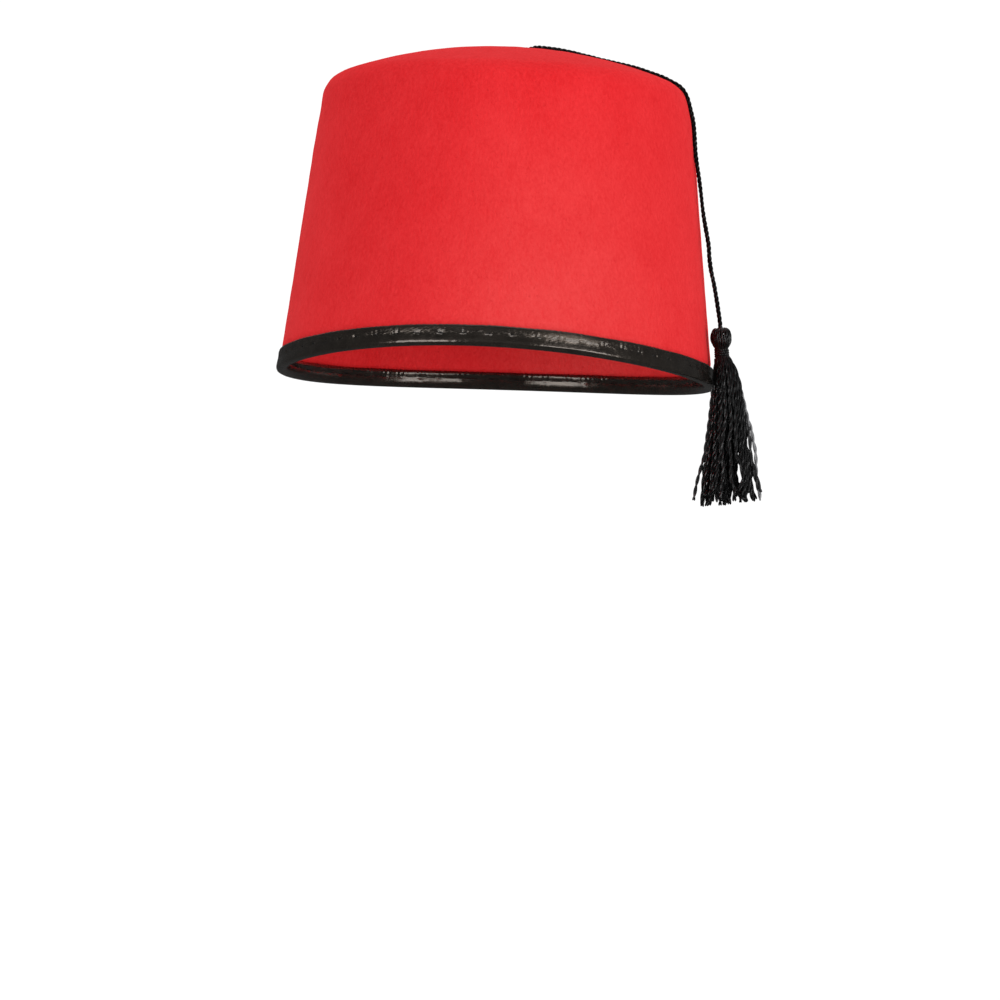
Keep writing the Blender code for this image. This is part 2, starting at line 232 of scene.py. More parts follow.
def joined(parts):
    # several sets of tubes as one mesh
    points, faces, strand, first = [], [], [], 0
    for partPoints, partFaces, partStrand in parts:
        points.append(partPoints)
        faces += [[corner + first for corner in face] for face in partFaces]
        strand.append(partStrand)
        first += len(partPoints)
    return np.concatenate(points), faces, np.concatenate(strand)


# finishes

def feed(socket, value):
    # a number, a colour, or a link from another node
    if isinstance(value, bpy.types.NodeSocket):
        socket.id_data.links.new(value, socket)
    else:
        socket.default_value = (*value, 1.0) if isinstance(value, tuple) else value


def addNode(tree, kind, settings=None, inputs=None):
    node = tree.nodes.new("ShaderNode" + kind)
    for key, value in (settings or {}).items():
        setattr(node, key, value)
    for key, value in (inputs or {}).items():
        feed(node.inputs[key], value)
    return node


def reckon(operation, *values, clamp=False):
    # a maths node, or a chain of them that is clamped at its end
    if len(values) > 2:
        values = (reckon(operation, *values[:-1]), values[-1])
    tree = next(value.id_data for value in values if isinstance(value, bpy.types.NodeSocket))
    settings = {"operation": operation, "use_clamp": clamp}
    return addNode(tree, "Math", settings, dict(enumerate(values))).outputs[0]


plus, minus = partial(reckon, "ADD"), partial(reckon, "SUBTRACT")
times, ratio = partial(reckon, "MULTIPLY"), partial(reckon, "DIVIDE")


def splitUp(vector):
    return addNode(vector.id_data, "SeparateXYZ", None, {0: vector}).outputs


def joinUp(tree, **inputs):
    return addNode(tree, "CombineXYZ", None, inputs).outputs[0]


def objectPlace(tree):
    return addNode(tree, "TexCoord").outputs["Object"]


def meshValues(tree, name):
    return splitUp(addNode(tree, "Attribute", {"attribute_name": name}).outputs["Vector"])


def addNoise(tree, dimensions, **inputs):
    return addNode(tree, "TexNoise", {"noise_dimensions": dimensions}, inputs).outputs["Fac"]


def newGroup(name, inputs, outputs):
    group = bpy.data.node_groups.new(name, "ShaderNodeTree")
    for way, keys in (("INPUT", inputs), ("OUTPUT", outputs)):
        for key in keys:
            group.interface.new_socket(key, in_out=way, socket_type="NodeSocketFloat")
    return group, group.nodes.new("NodeGroupInput").outputs, group.nodes.new("NodeGroupOutput").inputs


def makeMottle():
    # soft blotches, Size millimetres across and Tall times as high, from 0 to 1
    group, into, out = newGroup("mottle", ("Size", "Tall", "Detail", "Contrast", "Shift"), ("Mask",))
    squeeze = joinUp(group, X=1.0, Y=1.0, Z=ratio(1.0, into["Tall"]))
    spot = addNode(group, "VectorMath", {"operation": "MULTIPLY"}, {0: objectPlace(group), 1: squeeze})
    noise = addNoise(group, "4D", Vector=spot.outputs[0], Scale=ratio(1000.0, into["Size"]),
                     Detail=into["Detail"], W=into["Shift"], Roughness=0.55)
    feed(out["Mask"], plus(times(minus(noise, 0.5), into["Contrast"]), 0.5, clamp=True))
    return group


spinGloss = {
    "from": 0.44,  # it shines where the noise along a yarn is above this
    "gain": 4.0,
    "spread": 900.0,  # sets the yarns apart in the noise by their shades
    "tightFade": 0.25,  # each millimetre
    "tightShare": 0.45,
}


def makeSpin(look):
    # fine fibres that wind round a strand: Fibres of them, one turn in each Pitch millimetres. Gloss
    # comes and goes every Run millimetres, differs from yarn to yarn by Uneven, and is fuller over
    # the first Tight millimetres
    group, into, out = newGroup(
        "spin", ("Fibres", "Pitch", "Run", "Tight", "Uneven"), ("Height", "Shade", "Gloss"))
    around, length, shade = meshValues(group, "strand")
    turn = times(plus(times(around, into["Fibres"]), ratio(length, into["Pitch"])), fullTurn)
    feed(out["Height"], plus(times(reckon("SINE", turn), 0.5), 0.5))
    feed(out["Shade"], shade)
    start = times(shade, look["spread"])
    along = plus(ratio(length, into["Run"]), start)
    along = addNoise(group, "1D", W=along, Scale=1.0, Detail=2.0, Roughness=0.6)
    gloss = times(minus(along, look["from"]), look["gain"], clamp=True)
    yarn = addNode(group, "TexWhiteNoise", {"noise_dimensions": "1D"}, {"W": start})
    differs = times(minus(yarn.outputs["Value"], 0.5), into["Uneven"], 2.0)
    tight = times(minus(into["Tight"], length), look["tightFade"], clamp=True)
    gloss = times(gloss, plus(differs, 1.0))
    feed(out["Gloss"], plus(gloss, times(tight, look["tightShare"]), clamp=True))
    return group


mottle = makeMottle()
spin = makeSpin(spinGloss)


def mottled(tree, size, detail, contrast, shift=0.0, tall=1.0):
    values = {"Size": size, "Tall": tall, "Detail": detail, "Contrast": contrast, "Shift": shift}
    return addNode(tree, "Group", {"node_tree": mottle}, values).outputs[0]


def newFinish(name, plain):
    # plain holds what is the same all over
    material = bpy.data.materials.new(name)
    material.use_nodes = True
    shader = material.node_tree.nodes["Principled BSDF"].inputs
    for key, value in plain.items():
        feed(shader[key], value)
    return material, material.node_tree, shader


def mixColours(mask, low, high):
    mix = addNode(mask.id_data, "Mix", {"data_type": "RGBA"}, {0: mask, 6: low, 7: high})
    return mix.outputs[2]


def rampTo(value, low, high, start=0.0, end=1.0):
    # low to high as the value runs from start to end
    inputs = {"Value": value, "From Min": start, "From Max": end, "To Min": low, "To Max": high}
    return addNode(value.id_data, "MapRange", None, inputs).outputs["Result"]


def addBump(shader, height, depth):
    bump = addNode(height.id_data, "Bump", None,
                   {"Height": height, "Distance": depth * mm, "Strength": 1.0})
    feed(shader["Normal"], bump.outputs["Normal"])


feltFinish = {
    "plain": {"Roughness": 0.62, "Specular IOR Level": 0.0, "Sheen Weight": 0.05, "Sheen Roughness": 0.45,
              "Sheen Tint": (1.0, 0.62, 0.62)},
    "deep": (0.555, 0.0024, 0.0054),
    "bright": (0.834, 0.0428, 0.0484),
    # painted light: paler low on the wall and towards its middle across, where the lamps make it brighter;
    # two shades of its own, the heights it fades between, and its middle
    "paintedLightDeep": (0.615, 0.011, 0.0155),
    "paintedLightBright": (0.789, 0.0825, 0.079),
    "paintedLightHeights": (105.0, 20.0),
    "paintedLightMiddle": 28.0,
    "paintedLightReach": 55.0,
    "paintedLightLeast": 0.13,
    # marks in the nap, which lies down the wall: millimetres across, detail, contrast, place in the
    # noise, and height for width; then each one's share of the shade
    "blotch": (1.0, 3.0, 1.6, 0.0, 1.7),
    "cloud": (24.0, 2.0, 1.6, 3.0),
    "fibre": (0.3, 4.0, 2.0, 7.0, 1.7),
    "drift": (4.5, 2.0, 1.6, 5.0, 1.7),
    "shares": (0.36, 0.2, 0.13, 0.14),
    "least": 0.085,
    # small pits where fibres are drawn in, darkened with painted shade
    "pits": (1.6, 1.0, 1.0, 11.0),
    "pitFrom": 0.64,
    "pitGain": 7.0,
    "paintedPitShade": (0.42, 0.003, 0.005),
    "paintedPitShadeShare": 0.22,
    "heights": (1.2, 0.5, 0.6),  # of the blotches and fibres, and the depth of the pits
    "relief": 0.11,
}


def makeFelt(look):
    material, tree, shader = newFinish("felt red", look["plain"])
    marks = [mottled(tree, *look[key]) for key in ("blotch", "cloud", "fibre", "drift")]
    shade = [times(mark, part) for mark, part in zip(marks, look["shares"])]
    shade = plus(*shade, look["least"], clamp=True)
    pits = times(minus(mottled(tree, *look["pits"]), look["pitFrom"]), look["pitGain"], clamp=True)
    across, _, up = splitUp(objectPlace(tree))
    # painted light: a paler colour mixed in low on the wall, fullest near its middle across and least at
    # the far sides
    paintedLightLow = rampTo(up, 0.0, 1.0, *[height * mm for height in look["paintedLightHeights"]])
    away = ratio(minus(across, look["paintedLightMiddle"] * mm), look["paintedLightReach"] * mm)
    side = minus(1.0, times(away, away), clamp=True)
    side = plus(times(side, side, 1 - look["paintedLightLeast"]), look["paintedLightLeast"])
    colour = mixColours(times(paintedLightLow, side), mixColours(shade, look["deep"], look["bright"]),
                        mixColours(shade, look["paintedLightDeep"], look["paintedLightBright"]))
    # painted shade: the colour is darkened in the pits
    feed(shader["Base Color"], mixColours(times(pits, look["paintedPitShadeShare"]), colour, look["paintedPitShade"]))
    blotchUp, fibreUp, pitDown = look["heights"]
    height = minus(plus(times(marks[0], blotchUp), times(marks[2], fibreUp)), times(pits, pitDown))
    addBump(shader, height, look["relief"])
    return material


def slantNoise(run, up, length, width, turn):
    # short streaks on the strip, length by width millimetres, turned up from the rim's line
    c, s = math.cos(turn), math.sin(turn)
    along = plus(times(run, c / length), times(up, s / length))
    across = minus(times(up, c / width), times(run, s / width))
    place = joinUp(run.id_data, X=along, Y=across)
    return addNoise(run.id_data, "2D", Vector=place, Scale=1.0, Detail=2.0, Roughness=0.5)


bindingFinish = {
    "plain": {"Specular IOR Level": 0.8, "Specular Tint": (1.0, 0.85, 0.72), "Coat Roughness": 0.1},
    "colour": (0.0085, 0.007, 0.006),
    "scuffed": (0.0165, 0.014, 0.012),
    # painted sheen: a pale warm colour that stands in for the highlight on the loose stretch's bulge
    "looseAndPaintedSheen": (0.1, 0.078, 0.062),  # where the strip is loose
    "looseAndPaintedSheenGain": 1.6,
    "looseAndPaintedSheenLeast": 0.2,
    "patch": (5.0, 3.0, 1.8, 1.0),
    "fine": (0.36, 2.0, 1.5, 5.0),
    "grain": 0.9,  # millimetres
    "relief": 0.018,
    # fine creases aslant beside the stitches: length, width and turn, then height and reach
    "crease": (4.5, 0.85, math.radians(20)),
    "creaseLine": (5.0, 2.1),
    "creaseRelief": 0.2,
    "pleat": (3.0, 0.5, math.radians(86)),  # upright ones where the strip is loose
    "pleatRelief": 0.26,
    "roughness": (0.16, 0.28),
    "coat": 0.4,
    "topEdge": (6.9, 7.4),  # the upper edge is rubbed dull
    "topRoughness": 0.35,
}


def makeBindingFinish(look):
    material, tree, shader = newFinish("binding black", look["plain"])
    patch = mottled(tree, *look["patch"])
    fine = mottled(tree, *look["fine"])
    run, up, loose = meshValues(tree, "strip")
    outside = reckon("GREATER_THAN", loose, -0.5)
    middle, reach = look["creaseLine"]
    away = reckon("ABSOLUTE", minus(up, middle))
    band = times(minus(1.0, ratio(away, reach), clamp=True), outside)
    # painted sheen on the loose stretch near the stitch line; the same mask raises the upright pleats
    # there
    looseAndPaintedSheen = times(band, times(loose, loose), look["looseAndPaintedSheenGain"])
    looseAndPaintedSheen = times(looseAndPaintedSheen, plus(fine, look["looseAndPaintedSheenLeast"]), clamp=True)
    colour = mixColours(patch, look["colour"], look["scuffed"])
    feed(shader["Base Color"], mixColours(looseAndPaintedSheen, colour, look["looseAndPaintedSheen"]))
    edge = times(rampTo(up, 0.0, 1.0, *look["topEdge"]), outside)
    feed(shader["Roughness"], plus(rampTo(patch, *look["roughness"]), times(edge, look["topRoughness"])))
    feed(shader["Coat Weight"], times(minus(1.0, edge), look["coat"]))
    cells = addNode(tree, "TexVoronoi", {"feature": "SMOOTH_F1"},
                    {"Vector": objectPlace(tree), "Scale": 1000.0 / look["grain"], "Smoothness": 0.35})
    grain = minus(times(fine, 0.4), cells.outputs["Distance"])
    ridges = reckon("ABSOLUTE", minus(slantNoise(run, up, *look["crease"]), 0.5))
    creases = times(ridges, 2.0, band, look["creaseRelief"] / look["relief"])
    pleats = times(slantNoise(run, up, *look["pleat"]), looseAndPaintedSheen, look["pleatRelief"] / look["relief"])
    addBump(shader, plus(grain, creases, pleats), look["relief"])
    return material


yarnFuzz = {
    "size": (0.35, 3.0, 1.6, 2.0),
    "roughness": (0.36, 0.6),
    "height": 0.8,
}


def makeYarnFinish(name, look):
    # dull black fibres, with a silky gloss in short runs along each yarn
    material, tree, shader = newFinish(name, look["plain"])
    twist = addNode(tree, "Group", {"node_tree": spin}, look["spin"]).outputs
    fuzz = mottled(tree, *yarnFuzz["size"])
    feed(shader["Base Color"], mixColours(twist["Shade"], look["dark"], look["light"]))
    feed(shader["Roughness"], rampTo(fuzz, *yarnFuzz["roughness"]))
    feed(shader["Coat Weight"], times(twist["Gloss"], look["gloss"]))
    addBump(shader, plus(twist["Height"], times(fuzz, yarnFuzz["height"])), look["relief"])
    return material


cordFinish = {
    "plain": {"Specular IOR Level": 0.05, "Coat Roughness": 0.18, "Coat IOR": 1.5},
    "dark": (0.0012, 0.0012, 0.0014),
    "light": (0.008, 0.008, 0.0085),
    "gloss": 0.7,
    "spin": {"Fibres": 5.0, "Pitch": 1.6, "Run": 1.6},
    "relief": 0.05,
}
tasselFinish = {
    "plain": {"Specular IOR Level": 0.14, "Coat Roughness": 0.2, "Coat IOR": 1.5},
    "dark": (0.001, 0.001, 0.0012),
    "light": (0.32, 0.32, 0.327),
    "gloss": 1.0,
    "spin": {"Fibres": 4.0, "Pitch": 2.2, "Run": 2.4, "Tight": 17.0, "Uneven": 0.7},
    "relief": 0.04,
}
threadFinish = {
    "plain": {"Specular IOR Level": 0.2, "Coat Roughness": 0.24, "Coat IOR": 1.5},
    "dark": (0.0015, 0.0015, 0.0017),
    "light": (0.009, 0.009, 0.0095),
    "gloss": 0.9,
    "spin": {"Fibres": 3.0, "Pitch": 0.8, "Run": 1.5, "Tight": 99.0},
    "relief": 0.02,
}

felt = makeFelt(feltFinish)
bindingBlack = makeBindingFinish(bindingFinish)
cordBlack = makeYarnFinish("cord black", cordFinish)
tasselBlack = makeYarnFinish("tassel yarn", tasselFinish)
threadBlack = makeYarnFinish("thread black", threadFinish)
stitchBlack = makeYarnFinish("stitch black", {**threadFinish, "gloss": 0.55})
print("finishes made")


# crown: one moulded shell of felt

hatForm = {
    "rimHalf": (81.0, 98.0),  # across, and front to back
    "rimHeight": (0.0, 4.8),  # the rim stands higher at front and back
    "topHalf": (68.5, 73.5),
    "cornerHeight": 110.5,
    "domeRise": 13.8,
    "shoulderRadius": 10.0,
    "felt": 2.4,
    "edgeUp": 1.3,  # the felt's edge stands inside the fold of the binding
    "hole": 1.0,
    "holeAt": (0.5, -0.2),
    "dimple": (0.5, 14.0),  # depth and radius
}

feltForm = {
    "around": 360,
    "rows": ((62, 12, 34), (24, 8, 14)),  # on the wall, shoulder and dome, outside and inside
    "crowding": (1.25, 1.15),  # they stand closer near the binding and near the hole
    "pressed": 0.6,  # under the binding
    "pressUp": ((7.0, 9.6), (6.5, 9.0)),
    "swell": (0.08, 34.0),  # hand-blocked unevenness: size, and from swell to swell
    "ripple": (0.035, 6.0),
    # where the shoulder is pressed in: depth, turn and half width, height and half height
    "dents": [
        (1.0, 0.0, 0.42, 106.4, 5.2),  # by the cord
        (0.65, 3.2, 0.45, 113.5, 4.5),
    ],
    "leaning": 0.35,  # the top sits a little towards the tassel
    "leans": (82.0, 102.0),
    "lip": 0.86,  # the hole is rounded, and narrowest halfway through the felt
}


def hatOutline(index):
    # the felt's line, as distance and height, at one axis of the oval
    rim = np.array([hatForm["rimHalf"][index], hatForm["rimHeight"][index]])
    corner = np.array([hatForm["topHalf"][index], hatForm["cornerHeight"]])
    rise, bend = hatForm["domeRise"], hatForm["shoulderRadius"]
    up = (corner - rim) / np.linalg.norm(corner - rim)
    outward = np.array([up[1], -up[0]])
    radius = (corner[0] ** 2 + rise ** 2) / (2 * rise)
    centre = np.array([0.0, corner[1] + rise - radius])
    # the shoulder's centre lies its own radius inside the wall and inside the dome
    start = rim - outward * bend - centre
    along = start @ up
    wallLength = -along + math.sqrt(along ** 2 - start @ start + (radius - bend) ** 2)
    away = start + up * wallLength
    return {"rim": rim, "up": up, "outward": outward, "wallLength": wallLength, "domeRadius": radius,
            "domeCentre": centre, "shoulder": centre + away,
            "angles": (math.atan2(outward[1], outward[0]), math.atan2(away[1], away[0]))}


hatLines = [hatOutline(0), hatOutline(1)]


def wallUps(line, place):
    return hatForm["edgeUp"] + np.clip(place, 0, 1) * (line["wallLength"] - hatForm["edgeUp"])


def outlineRows(line, place, out):
    # place runs 0-1 up the wall, 1-2 round the shoulder and 2-3 over the dome to the hole
    wall = line["rim"] + line["up"] * wallUps(line, place)[:, None] + line["outward"] * out
    low, high = line["angles"]
    bend = hatForm["shoulderRadius"] + out
    angle = low + np.clip(place - 1, 0, 1) * (high - low)
    facing = np.stack([np.cos(angle), np.sin(angle)], axis=1)
    shoulder = line["shoulder"] + facing * bend
    edge = line["shoulder"][0] + bend * math.cos(high)
    across = edge + np.clip(place - 2, 0, 1) * (hatForm["hole"] - edge)
    radius = line["domeRadius"] + out
    domeFacing = np.stack([across / radius, np.sqrt(1 - (across / radius) ** 2)], axis=1)
    dome = line["domeCentre"] + domeFacing * radius
    zone = place[:, None]
    points = np.where(zone <= 1, wall, np.where(zone <= 2, shoulder, dome))
    facing = np.where(zone <= 1, line["outward"], np.where(zone <= 2, facing, domeFacing))
    return points, facing


def roundOval(lines, turn):
    # points between the oval's two axes, where the lines' distances and heights are given
    (d0, h0), (d1, h1) = lines
    c, s = np.cos(turn), np.sin(turn)
    return np.stack([d0 * c, d1 * s, h0 * c ** 2 + h1 * s ** 2], axis=-1)


def hatSurface(place, turn, out, extra=0.0):
    # points of the felt moved out by out, then by extra at each row and column
    rows = [outlineRows(line, place, out) for line in hatLines]
    points = roundOval([[p[:, i:i + 1] + extra * n[:, i:i + 1] for i in (0, 1)] for p, n in rows], turn)
    share = np.clip(place - 2, 0, 1)[:, None]
    points[..., :2] += share[..., None] * hatForm["holeAt"]
    depth, radius = hatForm["dimple"]
    points[..., 2] -= depth * np.clip(1 - (rows[0][0][:, 0:1] / radius) ** 2, 0, 1) ** 2
    return points


def feltRows(wall, shoulder, dome):
    low, high = feltForm["crowding"]
    shoulder, dome = [np.arange(1, rows + 1) / rows for rows in (shoulder, dome)]
    return np.concatenate([np.linspace(0, 1, wall) ** low, 1 + shoulder, 3 - (1 - dome) ** high])


def makeCrown(form):
    turn = evenTurns(form["around"])
    c2 = np.cos(turn) ** 2
    faces = []
    for side, out, sign in ((0, 0.0, -1), (1, -hatForm["felt"], 1)):
        pressUp = form["pressUp"][side]
        place = feltRows(*form["rows"][side])
        flat = hatSurface(place, turn, out)
        ups = wallUps(hatLines[0], place)[:, None] * c2 + wallUps(hatLines[1], place)[:, None] * (1 - c2)
        extra = sign * form["pressed"] * (1 - smoothStep(ups, *pressUp))
        shown = smoothStep(ups, pressUp[0], pressUp[1] + 4) * smoothStep(3 - place, 0, 0.12)[:, None]
        for (size, wave), seed in ((form["swell"], 5), (form["ripple"], 6 + sign)):
            extra += shown * size * softNoise(flat, wave, seed)
        for depth, middle, width, height, spread in form["dents"]:
            around = np.arctan2(np.sin(turn - middle), np.cos(turn - middle))
            extra -= depth * (bell(around, 0, width) * bell(flat[..., 2], height, spread))
        face = hatSurface(place, turn, out, extra)
        lean = smoothStep(face[..., 2], *form["leans"]) * smoothStep(3 - place, 0, 0.4)[:, None]
        face[..., 0] += form["leaning"] * lean
        faces.append(face)
    outer, inner = faces
    lip = (outer[-1] + inner[-1]) / 2
    centre = lip.mean(axis=0)
    lip = centre + (lip - centre) * [form["lip"], form["lip"], 1.0]
    points = np.concatenate([outer, lip[None], inner[::-1]])
    return addMesh("crown_felt", felt, points, gridFaces(*points.shape[:2], closedRows=True))


crown = makeCrown(feltForm)
finishPiece(crown, "felt_red", "crown")
print("crown made")


# binding: a strip folded round the felt's edge, felled down with a running stitch

bindingForm = {
    "around": 1728,
    "height": 7.7,
    "stitches": 64,
    "firstStitch": 0.79,  # of their spacing, from the side where the tassel hangs
    "stitchUp": 4.45,
    "pucker": (0.2, 1.3, 0.8),  # depth, spread along the rim, and up
    "puckerInside": 0.4,
    # needle holes: depth, how far from the stitch's middle, half width, half height
    "holes": (0.24, 1.0, 0.42, 0.5),
    "stitchUneven": (0.55, 9.0),
    # little pleats fan up from each stitch: size, width, reach, and the heights they grow between
    "pleats": (0.08, 2.3, 2.6, (4.2, 6.0)),
    # a loose stretch at the right of the front: turn and half width. It bulges above the stitches,
    # sags at the fold (size, height and half height), and is narrower from below and above
    "loose": (-1.11, 0.17),
    "bulge": (0.42, 5.3, 1.3),
    "sag": (0.8, 1.8, 0.9),
    "narrower": (0.6, 0.1),
    "ripple": (0.045, 2.2),
    "swell": (0.08, 18.0),
    "seamTurn": math.pi / 2,  # the strip's ends lap at the back, cut a little aslant
    "seamSlant": 0.25,
    "seamStep": 0.4,
    "seamWidth": 9.0,
    "showing": (slice(1, 21), slice(32, 44)),  # points of the outline, outside and inside
}

# the strip's outline as out from the felt's line and up from the rim: up the face, over the top edge,
# down and up the groove that holds the felt, over the inner edge, down inside and round the fold
bindingOutline = [
    (0.36, 0.36), (0.62, 0.62), (0.8, 0.95), (0.9, 1.35), (0.93, 1.8), (0.91, 2.6), (0.86, 3.3),
    (0.83, 3.7), (0.8, 4), (0.775, 4.25), (0.76, 4.5), (0.75, 4.75), (0.74, 5), (0.73, 5.3), (0.73, 5.75),
    (0.75, 6.3), (0.76, 6.85), (0.72, 7.25), (0.6, 7.5), (0.38, 7.63), (0.12, 7.68), (-0.2, 7.66),
    (-0.42, 7.4), (-0.5, 6.6), (-0.52, 4.5), (-0.52, 2.4), (-0.6, 1.26), (-1.2, 1.1), (-1.8, 1.26),
    (-1.88, 2.4), (-1.88, 4.5), (-1.9, 6.2), (-2.05, 6.95), (-2.35, 7.2), (-2.75, 7.1), (-3.02, 6.75),
    (-3.12, 6.1), (-3.1, 5.2), (-3.03, 4.55), (-3.07, 4.1), (-3.17, 3.4), (-3.18, 2.4), (-3.08, 1.5),
    (-2.8, 0.86), (-2.3, 0.42), (-1.7, 0.2), (-1.1, 0.15), (-0.5, 0.17), (-0.05, 0.22),
]


def rimTurns(count):
    # turns round the oval whose points are the same distance apart along the rim
    turn = np.linspace(0, fullTurn, 7201)
    run = runAlong(np.stack([np.cos(turn), np.sin(turn)], axis=1) * hatForm["rimHalf"])
    return np.interp(np.arange(count) / count * run[-1], run, turn), run[-1]


def wallPoint(up, turn, out):
    # points beside the wall: up along it, and out from the felt's line
    return roundOval([[line["rim"][i] + line["up"][i] * up + line["outward"][i] * out for i in (0, 1)]
                      for line in hatLines], turn)


def makeBinding(form):
    turn, length = rimTurns(form["around"])
    section = np.array(bindingOutline)
    # outward directions of the outline
    step = np.roll(section, -1, axis=0) - np.roll(section, 1, axis=0)
    facing = unit(np.stack([step[:, 1], -step[:, 0]], axis=1))
    outs, ups = section[:, 0:1], section[:, 1:2]
    outside = outs > -0.45
    showing = np.zeros_like(outs)
    for shown in form["showing"]:
        showing[shown] = 1.0
    flat = wallPoint(ups, turn[None, :], outs)
    run = np.arange(form["around"]) / form["around"] * length
    spacing = length / form["stitches"]
    fromStitch = (run + (0.5 - form["firstStitch"]) * spacing) % spacing - spacing / 2
    drawn = 1 + uneven(flat[:1], form["stitchUneven"], 57)
    depth, width, tall = form["pucker"]
    nearLine = bell(ups, form["stitchUp"], tall)
    part = np.where(outside, 1.0, form["puckerInside"])
    raised = -depth * bell(fromStitch, 0, width) * nearLine * drawn * part
    depth, away, width, tall = form["holes"]
    holes = bell(np.abs(fromStitch), away, width) * bell(ups, form["stitchUp"], tall)
    raised -= depth * drawn * holes * outside
    size, wave, reach, heights = form["pleats"]
    pleat = np.cos(fullTurn * fromStitch / wave) * bell(fromStitch, 0, reach)
    raised += size * pleat * smoothStep(ups, *heights)
    part = np.where(outside, 0.5 + nearLine, 0.35)
    raised += uneven(flat * [1, 1, 1.6], form["ripple"], 21) * part
    raised += uneven(flat, form["swell"], 22)
    # the upper end lies over the lower one
    fromSeam = run - length * form["seamTurn"] / fullTurn + (ups - 4) * form["seamSlant"]
    start = -form["seamWidth"]
    lap = smoothStep(fromSeam, start - 0.5, start + 4) * (1 - smoothStep(fromSeam, -0.35, 0.35))
    raised = showing * raised + (showing + (1 - showing) * 0.3) * form["seamStep"] * lap * (outs > -0.1)
    middle, width = form["loose"]
    loose = bell(turn, middle % fullTurn, width) * outside
    size, middle, tall = form["bulge"]
    raised += showing * size * loose * bell(ups, middle, tall)
    size, middle, tall = form["sag"]
    moved = ups - size * loose * bell(ups, middle, tall)
    below, above = form["narrower"]
    part = ups / form["height"]
    moved = moved + below * loose * (1 - part) - above * loose * part
    points = wallPoint(moved + raised * facing[:, 1:2], turn[None, :], outs + raised * facing[:, 0:1])
    strip = np.stack(np.broadcast_arrays(run, ups, np.where(outside, loose, -1.0)), axis=-1)
    faces = gridFaces(len(section), form["around"], closedRows=True)
    return addMesh("binding_strip", bindingBlack, points, faces, strip=strip)


binding = makeBinding(bindingForm)
finishPiece(binding, "binding_black", "rim_binding")

stitchForm = {
    "lengths": (2.3, 5.2),  # outside and inside
    "starts": (0.0, 0.5),
    "ups": (4.45, 4.5),
    "outs": (0.58, -3.04),  # the strip's faces at the stitch line
    "proud": (0.1, 0.55),  # at the middle, and how far the ends dip from there
    "drawnIn": (0.16, 0.0),
    "radius": 0.15,
    "lean": 0.12,
}


def makeStitches(form):
    stops = 7200
    turnAt, length = rimTurns(stops)
    spacing = length / bindingForm["stitches"]
    along = np.linspace(-1, 1, 15)
    middle, dip = form["proud"]
    rng = np.random.default_rng(31)
    lines = []
    for k in range(bindingForm["stitches"]):
        for face, facing in enumerate((1, -1)):
            lean = rng.uniform(-form["lean"], form["lean"])
            start = (k + form["starts"][face] + bindingForm["firstStitch"]) * spacing
            run = (start + along * form["lengths"][face] / 2) % length
            turn = np.interp(run, np.arange(stops) / stops * length, turnAt)
            proud = middle - dip * np.abs(along) ** 3 - form["drawnIn"][face]
            ups = form["ups"][face] + lean * along
            lines.append(wallPoint(ups, turn, form["outs"][face] + facing * proud))
    lines = np.array(lines)
    radii = np.full(lines.shape[:2], form["radius"])
    radii[:, 0] = radii[:, -1] = form["radius"] * 0.5
    shades = rng.uniform(0.1, 0.5, len(lines))
    return addMesh("binding_stitches", stitchBlack, *tubes(lines, radii, 8, shades))


stitches = makeStitches(stitchForm)
finishPiece(stitches, "binding_black")
print("binding and stitches made")


# cord: three strands laid together, out of the top's middle, over the shoulder and down

cordRoute = [
    (0, 0, 120.15), (0, 0, 121.3), (0.1, 0, 122.5), (0.5, -0.2, 123.7), (1.4, -0.6, 124.7),
    (3, -1.3, 125.15), (5.4, -2.5, 125.15), (8.4, -4.2, 125.2), (14, -6.3, 124.9), (22, -5.9, 124.1),
    (31, -4.9, 122.8), (40, -4.5, 120.95), (49, -4.4, 118.65), (55.5, -4.4, 116.65), (59.5, -4.4, 115.3),
    (62.6, -4.3, 114.2), (65.5, -4.3, 112.8), (67.9, -4.3, 110.7), (69.5, -4.3, 108), (70.3, -4.3, 105.2),
    (70.8, -4.4, 101.5), (71.1, -4.5, 96), (71.9, -4.9, 88), (73.3, -5.3, 80), (74.55, -5.6, 72),
    (75.8, -6, 64), (77.4, -6.4, 56.5), (78.2, -6.5, 52.6), (78.55, -6.6, 48.8), (79.3, -6.7, 44),
    (80.9, -6.9, 37.5), (82.7, -7, 28.5), (83.5, -7, 24), (83.98, -7, 20),
]

tasselHang = {
    "top": (83.84, -7.0, 21.65),
    "lean": math.radians(4.7),  # it swings out from the hat's axis
}


def tasselPoints(drop, x, y):
    # from the tassel's own axes, hanging from the top of its head, to the hat's
    c, s = math.cos(tasselHang["lean"]), math.sin(tasselHang["lean"])
    top = tasselHang["top"]
    return np.stack([top[0] + x * c + drop * s, top[1] + y, top[2] + x * s - drop * c], axis=-1)


